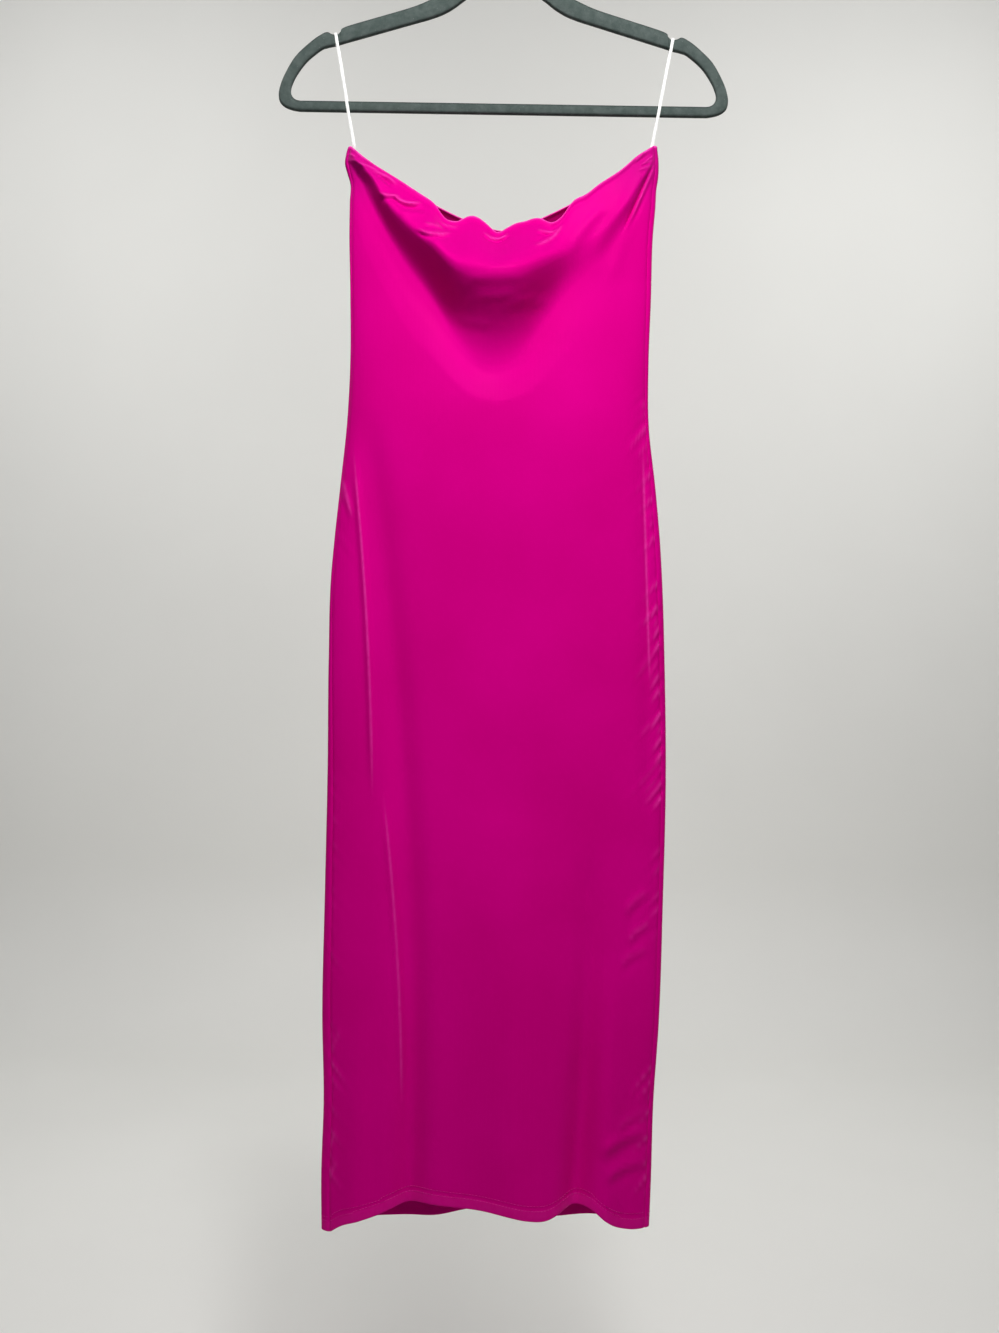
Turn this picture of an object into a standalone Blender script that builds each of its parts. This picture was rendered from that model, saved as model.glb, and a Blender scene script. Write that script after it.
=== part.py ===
# Strapless dress on a slim hanger, built as solids.
# Frame: the origin is the top of the hook's inside, where it bears on a rail.
# X runs across the dress, the front faces -Y, and Z is up.
# Sizes are millimetres, turned to metres when a mesh is made.
import math

import bmesh
import bpy
import numpy as np

for old in list(bpy.data.objects):
    bpy.data.objects.remove(old, do_unlink=True)

MM = 0.001

# Cloth
CLOTH_WALL = 1.2
SEAM_GAP = 0.45
CORNER_Z = -266.0
CORNER_TILT = 2.5
FRONT_SAG = 87.0
BACK_SAG = 79.0
SAG_POWER = 1.4
BACK_HEM_DROP = 1059.0
EDGE_FADE_POWER = 12.0
TIP_ROUNDNESS = 6.0
LENS_POWER = 2.4

# Levels down the dress: height, half width on each side, how far the side seam
# lies in from the folded side, and the depth of the front and of the back
LEVEL_NAMES = ("z", "left", "right", "wrap_left", "wrap_right", "front", "back")
LEVELS = (
    (-1345, 162.5, 161.5, 9.0, 5.0, 20.0, 17.0),
    (-1290, 163.8, 163.0, 9.0, 5.0, 20.5, 17.5),
    (-1210, 162.6, 164.2, 9.0, 5.0, 22.5, 18.0),
    (-1130, 165.2, 168.4, 9.0, 5.0, 24.0, 18.5),
    (-1010, 164.6, 170.6, 8.0, 5.0, 26.0, 19.0),
    (-890, 163.8, 171.6, 6.5, 5.5, 27.5, 19.0),
    (-775, 164.4, 168.6, 4.0, 6.0, 28.5, 19.0),
    (-695, 163.4, 165.0, 2.8, 6.0, 29.0, 19.0),
    (-655, 160.4, 162.2, 2.4, 6.0, 30.0, 19.0),
    (-600, 155.2, 156.6, 2.2, 5.0, 31.5, 19.0),
    (-540, 149.8, 149.2, 2.2, 4.0, 31.5, 19.0),
    (-480, 147.6, 148.0, 2.2, 4.0, 27.0, 18.5),
    (-415, 148.6, 149.4, 2.2, 5.0, 20.5, 17.5),
    (-350, 150.6, 150.4, 2.2, 5.0, 16.5, 14.5),
    (-322, 150.6, 152.4, 2.3, 4.6, 13.0, 11.5),
    (-304, 150.4, 153.2, 2.6, 4.2, 11.0, 9.5),
    (-294, 153.4, 154.6, 3.2, 4.0, 9.6, 8.4),
    (-284, 156.0, 155.0, 3.6, 3.8, 8.6, 7.6),
    (-275, 155.0, 154.6, 3.4, 3.6, 7.4, 6.6),
    (-266, 152.6, 153.4, 3.0, 3.4, 6.2, 5.8),
)

# Cowl across the front, from the left seam to the right: how far below the corners
# the crest of the swag, the foot of its underside and the end of the drape lie, and
# how fully the swag stands out there
COWL_NAMES = ("u", "crest", "under", "spread", "out")
COWL = (
    (-1.00, 8, 20, 60, 0.00),
    (-0.95, 18, 37, 84, 0.10),
    (-0.90, 31, 55, 106, 0.20),
    (-0.75, 69, 96, 152, 0.35),
    (-0.60, 92, 129, 190, 0.50),
    (-0.45, 110, 157, 214, 0.72),
    (-0.30, 129, 190, 238, 0.92),
    (-0.15, 137, 213, 254, 1.05),
    (0.00, 139, 218, 258, 1.10),
    (0.15, 135, 206, 252, 0.98),
    (0.30, 123, 178, 236, 0.66),
    (0.45, 110, 150, 210, 0.26),
    (0.60, 96, 128, 184, 0.10),
    (0.75, 76, 104, 148, 0.10),
    (0.90, 40, 62, 104, 0.12),
    (1.00, 8, 20, 60, 0.00),
)

# Scallops of the slack front neckline: where, how much lower, how wide, how far out
NECK_SCALLOP_NAMES = ("u", "drop", "half_width", "out")
NECK_SCALLOPS = (
    (-0.34, 13.0, 0.09, 4.0),
    (-0.17, -7.0, 0.085, -2.5),
    (-0.03, 5.0, 0.055, 3.0),
    (0.10, -3.5, 0.07, -2.0),
    (0.36, 15.0, 0.085, 4.0),
    (0.56, 2.5, 0.07, 0.0),
    (0.88, -3.0, 0.08, 0.0),
)

# Drape out from the plain front, from the neckline (0) over the crest (1), the foot of
# its underside (2) and the end of the drape (3) to the hem (4)
DRAPE_NAMES = ("row", "front", "back")
DRAPE = (
    (0.00, 0.0, -5.0),
    (0.10, 3.0, -1.5),
    (0.25, 8.0, 2.0),
    (0.50, 19.0, 2.5),
    (0.75, 30.0, 3.0),
    (0.90, 35.0, 3.5),
    (1.00, 36.5, 4.0),
    (1.10, 34.8, 4.0),
    (1.22, 29.0, 4.0),
    (1.36, 20.5, 3.5),
    (1.52, 10.5, 2.5),
    (1.70, 1.5, 1.5),
    (1.90, -4.5, 0.5),
    (2.20, -6.0, 0.0),
    (2.60, -3.0, 0.0),
    (3.00, 0.0, 0.0),
    (4.00, 0.0, 0.0),
)
BACK_SPREAD_POWER = 3.4

# Front hem below the corners, from the left seam to the right
HEM_NAMES = ("u", "drop")
HEM = (
    (-1.00, 1073),
    (-0.93, 1064),
    (-0.80, 1057),
    (-0.70, 1052),
    (-0.60, 1044),
    (-0.45, 1041),
    (-0.25, 1041),
    (0.00, 1043),
    (0.15, 1047),
    (0.27, 1050),
    (0.42, 1047),
    (0.52, 1045),
    (0.62, 1048),
    (0.72, 1057),
    (0.80, 1062),
    (0.90, 1064),
    (1.00, 1065),
)

# Long folds: X and Z of the upper and lower ends, how far the line bows to +X half way,
# half width, and how far out they stand at each end
FOLD_NAMES = ("x0", "z0", "x1", "z1", "bow", "wide", "out0", "out1")
FRONT_FOLDS = (
    (-134, -520, -77, -1340, 21, 15, -2.5, -11.0),
    (-146, -575, -117, -915, 4, 6, 2.6, 1.8),
    (-107, -900, -84, -1220, 5, 6, 1.6, 1.6),
    (12, -880, 37, -1340, 0, 38, 0.0, 12.0),
    (94, -930, 83, -1340, 6, 13, -0.5, -13.0),
    (120, -1040, 116, -1340, 0, 14, 0.0, 7.0),
    (141, -480, 156, -950, 0, 9, -2.5, -2.5),
    (-124, -1080, -128, -1340, 0, 18, 0.0, 5.0),
)
BACK_FOLDS = (
    (-66, -420, -50, -1345, -6, 22, -1.5, -8.0),
    (14, -480, 4, -1345, 4, 34, 2.0, 6.0),
    (76, -580, 63, -1345, 5, 20, -1.0, -8.0),
    (112, -780, 110, -1345, 0, 20, 0.0, 5.0),
    (-118, -900, -114, -1345, 0, 20, 0.0, 4.0),
)
FOLD_FADE = 70.0
TO_THE_HEM_Z = -1300.0
NECK_ROLL_ROWS = 0.8

# Mesh of the cloth
FRONT_COLUMNS = 46
COWL_ROWS = (0.0, 0.12, 0.3, 0.55, 0.8, 1.0, 1.12, 1.26, 1.42, 1.6, 1.8, 2.1, 2.5, 3.0)
BODY_ROWS = 24
WRAP_COLUMNS = 3
BACK_ANGLES = (0, 6, 13, 21, 30, 38, 46, 54, 61, 68, 75, 82.5)
NUDGE = 0.002

# Ribbon loops
RIBBON_WIDE = 3.0
RIBBON_THICK = 0.6
RIBBON_FOOT_X = 147.4
RIBBON_FOOT_DEEP = 8.0
RIBBON_FOOT_Y_LEFT = 2.7
RIBBON_FOOT_Y_RIGHT = 2.2
RIBBON_TILT_LIFT = 0.4

# Hanger
HANGER_THICK = 6.0
HANGER_ROUND = 1.5
CLEARANCE = 0.3
NOTCH_X = 167.0
NOTCH_Z = -156.8
BAR_TOP_Z = -222.8
BAR_FOOT_Z = -233.2

# Outer and inner edge of the left or right half, from the middle of the bar round
# the end, over the shoulder and its notch, up to the middle of the neck
HANGER_EDGE_NAMES = ("outer_x", "outer_z", "inner_x", "inner_z")
HANGER_EDGE = (
    (0.0, BAR_FOOT_Z, 0.0, BAR_TOP_Z),
    (60.0, BAR_FOOT_Z, 60.0, BAR_TOP_Z),
    (125.0, BAR_FOOT_Z, 125.0, BAR_TOP_Z),
    (190.0, BAR_FOOT_Z, 190.0, BAR_TOP_Z),
    (204.0, -232.8, 202.0, -222.7),
    (214.5, -230.0, 207.2, -220.6),
    (220.6, -225.2, 209.8, -217.0),
    (222.5, -218.6, 210.5, -213.0),
    (221.8, -210.6, 209.4, -207.4),
    (217.4, -198.1, 205.0, -197.6),
    (206.6, -179.1, 195.1, -183.9),
    (190.6, -163.6, 181.5, -172.4),
    (180.6, -156.6, 175.4, -169.8),
    (175.4, -154.6, 172.0, -168.9),
    (171.6, -156.2, 169.6, -168.4),
    (169.0, NOTCH_Z, 168.0, -168.0),
    (165.0, NOTCH_Z, 165.4, -167.3),
    (162.0, -153.8, 163.0, -166.6),
    (157.2, -149.1, 160.1, -165.6),
    (124.0, -138.7, 126.0, -155.4),
    (91.0, -128.4, 92.0, -145.2),
    (72.9, -120.6, 74.0, -139.8),
    (58.0, -113.2, 61.0, -134.8),
    (45.0, -106.2, 50.0, -128.4),
    (34.0, -99.6, 39.6, -120.4),
    (24.0, -93.0, 28.0, -112.8),
    (17.0, -87.6, 18.0, -108.6),
    (12.0, -83.0, 9.0, -106.6),
    (6.5, -82.0, 4.5, -106.1),
    (0.0, -82.0, 0.0, -106.0),
)

# Hook
WIRE_RADIUS = 1.65
HOOK_INSIDE = 22.5
HOOK_FIRST_ANGLE = -58.0
HOOK_LAST_ANGLE = 206.0
HOOK_BEND_PULL = 20.0
HOOK_STEM_TOP_Z = -62.0
HOOK_STEM_FOOT_Z = -94.0
WIRE_SIDES = 10


def columns_of(names, rows):
    return {name: np.array(column, float) for name, column in zip(names, zip(*rows))}


def smooth_at(value, knots, heights):
    # Cubic through a short table, with the slope at each knot from its neighbours
    order = np.argsort(knots)
    knots = knots[order]
    heights = heights[order]
    slopes = np.gradient(heights, knots)
    value = np.clip(value, knots[0], knots[-1])
    index = np.clip(np.searchsorted(knots, value, side="right") - 1, 0, len(knots) - 2)
    span = knots[index + 1] - knots[index]
    t = (value - knots[index]) / span
    start = (1 + 2 * t) * (1 - t) ** 2 * heights[index] + t * (1 - t) ** 2 * span * slopes[index]
    end = t * t * (3 - 2 * t) * heights[index + 1] + t * t * (t - 1) * span * slopes[index + 1]
    return start + end


def soft_step(value):
    value = np.clip(value, 0.0, 1.0)
    return value * value * (3 - 2 * value)


levels = columns_of(LEVEL_NAMES, LEVELS)
cowl = columns_of(COWL_NAMES, COWL)
drape = columns_of(DRAPE_NAMES, DRAPE)
hem = columns_of(HEM_NAMES, HEM)


def level(z, name):
    return smooth_at(z, levels["z"], levels[name])


def half_width(z, side):
    return np.where(side < 0, level(z, "left"), level(z, "right"))


def seam_wrap(z, side):
    return np.where(side < 0, level(z, "wrap_left"), level(z, "wrap_right"))


def sag(u, depth):
    return depth * (1 - np.clip(np.abs(u), 0, 1) ** SAG_POWER)


def front_neck(u):
    drop = sag(u, FRONT_SAG)
    for where, lower, wide, _ in NECK_SCALLOPS:
        drop = drop + lower * np.exp(-(((u - where) / wide) ** 2))
    return drop


def neck_roll(u, row):
    # The scallops also lean in and out, dying away above the crest
    out = np.zeros_like(u)
    for where, _, wide, lean in NECK_SCALLOPS:
        out = out + lean * np.exp(-(((u - where) / wide) ** 2))
    return out * soft_step(1 - row / NECK_ROLL_ROWS)


def by_rows(u, row, marks):
    # Straight between the marks, which stand at rows 0, 1, 2, 3 and 4; the first three
    # are higher at the right corner than at the left
    marks = [mark - CORNER_TILT * u * (index < 3) for index, mark in enumerate(marks)]
    drop = marks[0]
    for first in range(4):
        drop = drop + (marks[first + 1] - marks[first]) * np.clip(row - first, 0, 1)
    return drop


def front_drop(u, row):
    u = np.clip(u, -1, 1)
    marks = [front_neck(u)]
    for name in ("crest", "under", "spread"):
        marks.append(smooth_at(u, cowl["u"], cowl[name]))
    marks.append(smooth_at(u, hem["u"], hem["drop"]))
    return by_rows(u, row, marks)


def back_drop(u, row):
    u = np.clip(u, -1, 1)
    bell = sag(u, 1.0)
    seam_hem = np.where(u < 0, hem["drop"][0], hem["drop"][-1])
    marks = [
        BACK_SAG * bell,
        8 + 112 * bell,
        17 + 158 * bell,
        60 + 190 * bell,
        seam_hem + (BACK_HEM_DROP - seam_hem) * bell,
    ]
    return by_rows(u, row, marks)


def folds_at(x, z, folds):
    out = np.zeros_like(x)
    for x0, z0, x1, z1, bow, wide, out0, out1 in folds:
        along = (z - z0) / (z1 - z0)
        line = x0 + (x1 - x0) * along + bow * 4 * along * (1 - along)
        fade = soft_step(along * abs(z1 - z0) / FOLD_FADE)
        if z1 > TO_THE_HEM_Z:
            fade = fade * soft_step((1 - along) * abs(z1 - z0) / FOLD_FADE)
        height = out0 + (out1 - out0) * np.clip(along, 0, 1)
        out = out + height * fade * np.exp(-(((x - line) / wide) ** 2))
    return out


def lens(share, depth, half):
    # Half of the flattened tube: flat where it is thin, rounder as it opens
    power = np.maximum(LENS_POWER, TIP_ROUNDNESS * half / depth**2)
    return depth * np.sqrt(np.clip(1 - np.abs(share) ** power, 0, 1))


def front_depth(x, z, u, row):
    side = np.sign(u)
    half = half_width(z, side)
    share = np.clip(x / half, -1, 1)
    swag = smooth_at(row, drape["row"], drape["front"]) + neck_roll(u, row)
    spread = smooth_at(u, cowl["u"], cowl["out"])
    folds = folds_at(x, z, FRONT_FOLDS) * (1 - np.abs(share) ** EDGE_FADE_POWER)
    return lens(share, level(z, "front"), half) + swag * spread + folds


def back_depth(x, z, u, row):
    side = np.sign(u)
    half = half_width(z, side)
    share = np.clip(x / half, -1, 1)
    swag = smooth_at(row, drape["row"], drape["back"])
    spread = 1 - np.clip(np.abs(u), 0, 1) ** BACK_SPREAD_POWER
    folds = folds_at(x, z, BACK_FOLDS) * (1 - np.abs(share) ** EDGE_FADE_POWER)
    return lens(share, level(z, "back"), half) + swag * spread + folds


def front_point(u, row):
    z = CORNER_Z - front_drop(u, row)
    x = u * (half_width(z, u) - seam_wrap(z, u))
    y = -front_depth(x, z, u, row)
    return np.stack([x, y, z], axis=-1)


def back_point(turn, row):
    # turn runs from -1 at the right seam over 0 at the right fold, across the back,
    # to 1 at the left fold and 2 at the left seam
    side = np.where(turn < 0.5, 1.0, -1.0)
    past = np.where(turn < 0.5, -turn, turn - 1)
    around = np.where(past > 0, 0.0, np.pi * np.clip(turn, 0, 1))
    u = np.where(past > 0, side, np.cos(around))
    z = CORNER_Z - back_drop(u, row)
    half = half_width(z, side)
    wrap = seam_wrap(z, side) - SEAM_GAP
    seam_angle = np.arccos(1 - wrap / half)
    angle = np.where(past > 0, past * seam_angle, 0.0)
    x = np.where(past > 0, side * half * np.cos(angle), half * u)
    front = -front_depth(x, z, side, np.maximum(row, 0.0))
    back = back_depth(x, z, u, row)
    y = np.where(past > 0, front, back)
    return np.stack([x, y, z], axis=-1)


def walled(surface, across, down):
    # Outer grid of a panel and the same grid one wall further in
    a, d = np.meshgrid(across, down)
    outer = surface(a, d)
    side_way = surface(a + NUDGE, d) - surface(a - NUDGE, d)
    down_way = surface(a, d + NUDGE) - surface(a, d - NUDGE)
    normal = np.cross(down_way, side_way)
    normal /= np.linalg.norm(normal, axis=-1, keepdims=True)
    return outer, outer - normal * CLOTH_WALL


def material(name, colour, roughness, metallic=0.0):
    made = bpy.data.materials.new(name)
    made.use_nodes = True
    shader = made.node_tree.nodes["Principled BSDF"]
    shader.inputs["Base Color"].default_value = (*colour, 1.0)
    shader.inputs["Roughness"].default_value = roughness
    shader.inputs["Metallic"].default_value = metallic
    return made


def add_object(name, points, faces, made, sharp_degrees=50):
    mesh = bpy.data.meshes.new(name)
    mesh.from_pydata([tuple(point * MM) for point in points], [], faces)
    work = bmesh.new()
    work.from_mesh(mesh)
    bmesh.ops.recalc_face_normals(work, faces=work.faces)
    if work.calc_volume(signed=True) < 0:
        bmesh.ops.reverse_faces(work, faces=work.faces)
    work.to_mesh(mesh)
    work.free()
    mesh.shade_smooth()
    mesh.set_sharp_from_angle(angle=math.radians(sharp_degrees))
    mesh.materials.append(made)
    obj = bpy.data.objects.new(name, mesh)
    bpy.context.scene.collection.objects.link(obj)
    return obj


def add_wall(name, outer, inner, made):
    rows, columns = outer.shape[:2]
    count = rows * columns
    points = np.concatenate([outer.reshape(-1, 3), inner.reshape(-1, 3)])
    faces = []
    for row in range(rows - 1):
        for column in range(columns - 1):
            first = row * columns + column
            quad = (first, first + 1, first + columns + 1, first + columns)
            faces.append(quad)
            faces.append(tuple(count + index for index in reversed(quad)))
    rim = [column for column in range(columns)]
    rim += [row * columns + columns - 1 for row in range(1, rows)]
    rim += [(rows - 1) * columns + column for column in range(columns - 2, -1, -1)]
    rim += [row * columns for row in range(rows - 2, 0, -1)]
    for here, there in zip(rim, rim[1:] + rim[:1]):
        faces.append((there, here, count + here, count + there))
    return add_object(name, points, faces, made)


def add_sweep(name, rings, made, closed, sharp_degrees=50):
    # Skin over a run of rings with the same number of points
    sides = len(rings[0])
    points = np.concatenate(rings)
    faces = []
    last = len(rings) if closed else len(rings) - 1
    for ring in range(last):
        for side in range(sides):
            a = ring * sides + side
            b = ring * sides + (side + 1) % sides
            shift = ((ring + 1) % len(rings) - ring) * sides
            faces.append((a, b, b + shift, a + shift))
    if not closed:
        faces.append(tuple(range(sides - 1, -1, -1)))
        faces.append(tuple(range(len(points) - sides, len(points))))
    return add_object(name, points, faces, made, sharp_degrees)


jersey = material("pink_jersey", (0.78, 0.002, 0.26), 0.42)
ribbon = material("white_ribbon", (0.85, 0.85, 0.83), 0.5)
flock = material("grey_green_flock", (0.075, 0.095, 0.088), 0.95)
wire = material("hook_wire", (0.72, 0.72, 0.71), 0.25, 1.0)

# Front and back of the dress
spread_rows = np.linspace(3, 4, BODY_ROWS + 1)[1:]
down = np.concatenate([COWL_ROWS, spread_rows])
even = np.linspace(-1, 1, FRONT_COLUMNS + 1)
across_front = 0.75 * even + 0.25 * np.sin(even * math.pi / 2)
outer, inner = walled(front_point, across_front, down)
add_wall("front_panel", outer, inner, jersey)

right_half = np.array(BACK_ANGLES) / 180
middle = np.concatenate([right_half, [0.5], 1 - right_half[::-1]])
wraps = np.arange(WRAP_COLUMNS, 0, -1) / WRAP_COLUMNS
across_back = np.concatenate([-wraps, middle, 1 + wraps[::-1]])
outer, inner = walled(back_point, across_back, down)
add_wall("back_panel", outer, inner, jersey)


# Hanger body, a band of rounded section whose two edges follow the table
def hanger_rings():
    half = [np.array(row, float) for row in HANGER_EDGE]
    mirrored = [row * np.array([-1, 1, -1, 1]) for row in half[-2:0:-1]]
    rings = []
    for row in half + mirrored:
        outside = np.array([row[0], 0.0, row[1]])
        inside = np.array([row[2], 0.0, row[3]])
        across = (outside - inside) / np.linalg.norm(outside - inside)
        deep = np.array([0.0, HANGER_THICK / 2, 0.0])
        cut = across * HANGER_ROUND
        low = deep * (1 - 2 * HANGER_ROUND / HANGER_THICK)
        ring = [inside - low, inside + cut - deep, outside - cut - deep, outside - low]
        ring += [outside + low, outside - cut + deep, inside + cut + deep, inside + low]
        rings.append(np.array(ring))
    return rings


hanger = add_sweep("hanger_body", hanger_rings(), flock, closed=True, sharp_degrees=60)


def wire_path():
    radius = HOOK_INSIDE + WIRE_RADIUS
    centre = np.array([0.0, -HOOK_INSIDE])
    path = [np.array([0.0, HOOK_STEM_FOOT_Z]), np.array([0.0, HOOK_STEM_TOP_Z])]
    first = math.radians(HOOK_FIRST_ANGLE)
    start = centre + radius * np.array([math.cos(first), math.sin(first)])
    leave = np.array([0.0, HOOK_BEND_PULL])
    arrive = np.array([-math.sin(first), math.cos(first)]) * HOOK_BEND_PULL
    for t in np.linspace(0, 1, 9)[1:]:
        point = (1 + 2 * t) * (1 - t) ** 2 * path[1] + t * (1 - t) ** 2 * leave
        path.append(point + t * t * (3 - 2 * t) * start + t * t * (t - 1) * arrive)
    for degrees in np.linspace(HOOK_FIRST_ANGLE, HOOK_LAST_ANGLE, 30)[1:]:
        angle = math.radians(degrees)
        path.append(centre + radius * np.array([math.cos(angle), math.sin(angle)]))
    return np.array(path)


def wire_rings(path, radius):
    # The path lies in the XZ plane; the tip closes over a rounded end
    ways = np.gradient(path, axis=0)
    ways /= np.linalg.norm(ways, axis=1, keepdims=True)
    stations = [(point, way, radius) for point, way in zip(path, ways)]
    for forward, share in ((0.5, 0.87), (0.87, 0.5)):
        stations.append((path[-1] + ways[-1] * radius * forward, ways[-1], radius * share))
    rings = []
    for point, way, reach in stations:
        side = np.array([-way[1], 0.0, way[0]])
        ring = []
        for corner in range(WIRE_SIDES):
            angle = 2 * math.pi * corner / WIRE_SIDES
            out = side * math.cos(angle) + np.array([0.0, math.sin(angle), 0.0])
            ring.append(np.array([point[0], 0.0, point[1]]) + out * reach)
        rings.append(np.array(ring))
    return rings


add_sweep("hanger_hook", wire_rings(wire_path(), WIRE_RADIUS), wire, closed=False)

# Blind hole in the neck for the foot of the hook
hole_foot = HOOK_STEM_FOOT_Z - CLEARANCE
hole_top = HANGER_EDGE[-1][1] + 1.0
drill_path = np.array([[0.0, hole_foot], [0.0, hole_top]])
drill_rings = wire_rings(drill_path, WIRE_RADIUS + CLEARANCE)[:2]
drill = add_sweep("drill", drill_rings, flock, closed=False)
drill.hide_render = True
cut = hanger.modifiers.new("hook hole", "BOOLEAN")
cut.operation = "DIFFERENCE"
cut.solver = "EXACT"
cut.object = drill


# Ribbon loops from the corners of the dress up over the notches
def ribbon_rings(side, foot_y):
    top_z = NOTCH_Z + CLEARANCE + RIBBON_THICK / 2 + RIBBON_TILT_LIFT
    top = np.array([side * NOTCH_X, 0.0, top_z])
    foot = np.array([side * RIBBON_FOOT_X, 0.0, CORNER_Z])
    length = np.linalg.norm(foot - top)
    along = (foot - top) / length
    wide = np.cross(along, [0.0, 1.0, 0.0])
    clear = HANGER_THICK / 2 + CLEARANCE + RIBBON_THICK / 2
    bar = (top_z - BAR_TOP_Z) / (top_z - CORNER_Z) * length
    past_bar = (top_z - BAR_FOOT_Z) / (top_z - CORNER_Z) * length
    down_front = [
        (length + RIBBON_FOOT_DEEP, foot_y),
        (length, foot_y),
        (length - 6, foot_y + 0.3),
        (past_bar + 3, clear),
        (bar - 3, clear),
        (30, clear),
        (3.2, clear),
        (1.4, clear - 0.2),
        (0.4, clear - 0.9),
        (0.0, clear - 2.2),
    ]
    run = [(reach, -y) for reach, y in down_front]
    run += [(reach, y) for reach, y in reversed(down_front)]
    run = np.array(run)
    ways = np.gradient(run, axis=0)
    ways /= np.linalg.norm(ways, axis=1, keepdims=True)
    rings = []
    for (reach, y), way in zip(run, ways):
        centre = top + along * reach + np.array([0.0, y, 0.0])
        thick = along * -way[1] + np.array([0.0, way[0], 0.0])
        a = wide * RIBBON_WIDE / 2
        b = thick * RIBBON_THICK / 2
        rings.append(np.array([centre - a - b, centre + a - b, centre + a + b, centre - a + b]))
    return rings


left_loop = ribbon_rings(-1, RIBBON_FOOT_Y_LEFT)
right_loop = ribbon_rings(1, RIBBON_FOOT_Y_RIGHT)
add_sweep("hanger_loop_left", left_loop, ribbon, closed=False, sharp_degrees=40)
add_sweep("hanger_loop_right", right_loop, ribbon, closed=False, sharp_degrees=40)
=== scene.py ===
# Strapless jersey dress with a cowl front, on a slim flocked hanger
import math

import bpy
import numpy as np
from mathutils import Euler, Matrix, Vector


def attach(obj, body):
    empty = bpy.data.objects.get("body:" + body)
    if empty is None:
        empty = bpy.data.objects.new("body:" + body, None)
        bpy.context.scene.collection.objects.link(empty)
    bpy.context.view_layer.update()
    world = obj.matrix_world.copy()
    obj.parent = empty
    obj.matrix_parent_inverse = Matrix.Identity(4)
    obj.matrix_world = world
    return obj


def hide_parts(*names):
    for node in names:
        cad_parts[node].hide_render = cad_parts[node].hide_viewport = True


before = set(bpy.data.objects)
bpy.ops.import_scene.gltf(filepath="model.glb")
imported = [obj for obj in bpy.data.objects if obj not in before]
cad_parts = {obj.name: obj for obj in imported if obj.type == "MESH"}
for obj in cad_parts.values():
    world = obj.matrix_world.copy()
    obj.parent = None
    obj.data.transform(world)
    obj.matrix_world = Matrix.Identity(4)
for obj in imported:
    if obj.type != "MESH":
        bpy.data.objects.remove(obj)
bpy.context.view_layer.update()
print("frame loaded")

mm = 0.001


def smoothAt(value, knots, heights):
    # cubic through a short table, slopes taken from the neighbours
    knots = np.array(knots, float)
    heights = np.array(heights, float)
    order = np.argsort(knots)
    knots, heights = knots[order], heights[order]
    slopes = np.gradient(heights, knots)
    value = np.clip(value, knots[0], knots[-1])
    i = np.clip(np.searchsorted(knots, value, side="right") - 1, 0, len(knots) - 2)
    span = knots[i + 1] - knots[i]
    t = (value - knots[i]) / span
    a = (1 + 2 * t) * (1 - t) ** 2 * heights[i] + t * (1 - t) ** 2 * span * slopes[i]
    b = t * t * (3 - 2 * t) * heights[i + 1] + t * t * (t - 1) * span * slopes[i + 1]
    return a + b


def softStep(value):
    value = np.clip(value, 0.0, 1.0)
    return value * value * (3 - 2 * value)


def bell(value):
    return np.exp(-value * value)


def column(rows, index):
    return [row[index] for row in rows]


def makeMesh(name, points, faces, material, smooth=True):
    # points in millimetres
    mesh = bpy.data.meshes.new(name)
    points = np.asarray(points, float) * mm
    mesh.from_pydata(points.tolist(), [], faces)
    mesh.validate()
    if smooth:
        mesh.shade_smooth()
    mesh.materials.append(material)
    obj = bpy.data.objects.new(name, mesh)
    bpy.context.scene.collection.objects.link(obj)
    return obj


def gridFaces(rows, columns, first=0):
    r, c = np.meshgrid(np.arange(rows - 1), np.arange(columns - 1), indexing="ij")
    a = (r * columns + c + first).ravel()
    return np.stack([a, a + columns, a + columns + 1, a + 1], axis=1).tolist()


def sweepMesh(name, rings, material, closed):
    # skin over rings with equal numbers of points
    sides = len(rings[0])
    points = np.concatenate(rings)
    faces = []
    for ring in range(len(rings) if closed else len(rings) - 1):
        nextRing = (ring + 1) % len(rings)
        for side in range(sides):
            b = (side + 1) % sides
            here, there = ring * sides, nextRing * sides
            faces.append((here + side, here + b, there + b, there + side))
    if not closed:
        faces.append(tuple(range(sides - 1, -1, -1)))
        faces.append(tuple(range(len(points) - sides, len(points))))
    return makeMesh(name, points, faces, material)


def newMaterial(name):
    material = bpy.data.materials.new(name)
    material.use_nodes = True
    tree = material.node_tree
    return material, tree, tree.nodes["Principled BSDF"]


def objectCoords(tree, scale):
    coords = tree.nodes.new("ShaderNodeTexCoord")
    mapping = tree.nodes.new("ShaderNodeMapping")
    mapping.inputs["Scale"].default_value = scale
    tree.links.new(coords.outputs["Object"], mapping.inputs["Vector"])
    return mapping.outputs["Vector"]


def noiseNode(tree, vector, scale, detail=3.0, roughness=0.5):
    node = tree.nodes.new("ShaderNodeTexNoise")
    node.inputs["Scale"].default_value = scale
    node.inputs["Detail"].default_value = detail
    node.inputs["Roughness"].default_value = roughness
    tree.links.new(vector, node.inputs["Vector"])
    return node.outputs["Fac"]


def rampNode(tree, value, stops):
    node = tree.nodes.new("ShaderNodeValToRGB")
    ramp = node.color_ramp
    ramp.elements[0].position, ramp.elements[0].color = stops[0][0], (*stops[0][1], 1)
    ramp.elements[1].position, ramp.elements[1].color = stops[-1][0], (*stops[-1][1], 1)
    for position, colour in stops[1:-1]:
        element = ramp.elements.new(position)
        element.color = (*colour, 1)
    tree.links.new(value, node.inputs["Fac"])
    return node.outputs["Color"]


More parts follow.
